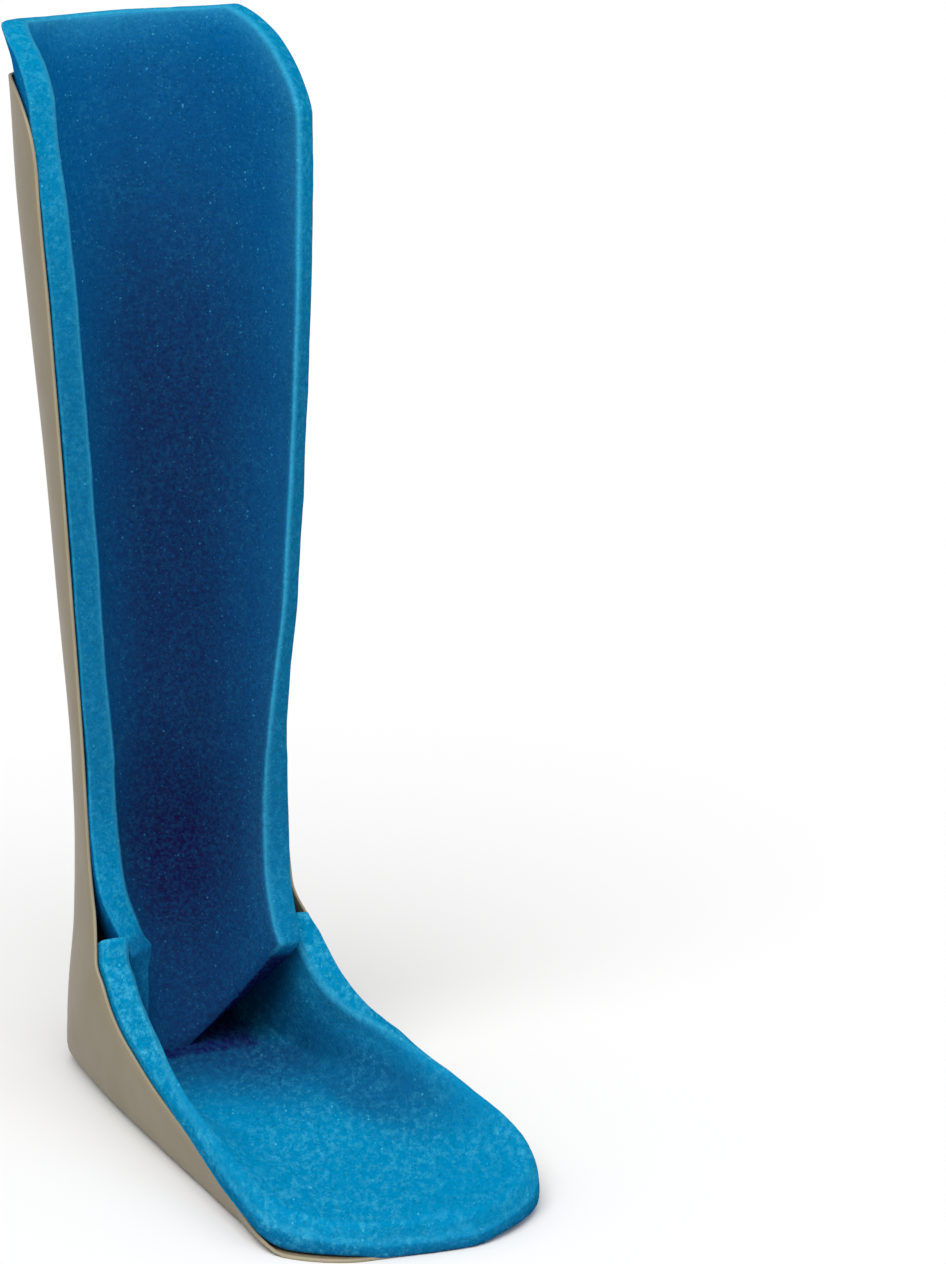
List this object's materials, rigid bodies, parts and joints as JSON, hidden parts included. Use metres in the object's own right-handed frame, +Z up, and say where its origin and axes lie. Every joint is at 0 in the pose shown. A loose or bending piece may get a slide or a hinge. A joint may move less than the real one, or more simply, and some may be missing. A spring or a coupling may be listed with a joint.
{
  "type": "padded posterior leg splint",
  "caption": "Perforated sheet-metal trough, bent at the heel, lined with foam for calf and foot; holds the lower leg and ankle still from behind.",
  "frame": {"origin": "on the floor under the centre of the splint's box", "axes": "+Z up along the calf, -Y from the heel towards the toe, X across the leg"},
  "size_m": [0.1378, 0.3366, 0.4312],
  "materials": {
    "enamel": "satin tan enamel on sheet metal",
    "calf_foam": "soft blue open-cell foam",
    "foot_foam": "soft blue open-cell foam"
  },
  "bodies": {
    "root": {"shell": "enamel", "calf_pad": "calf_foam", "foot_pad": "foot_foam"}
  },
  "joints": []
}
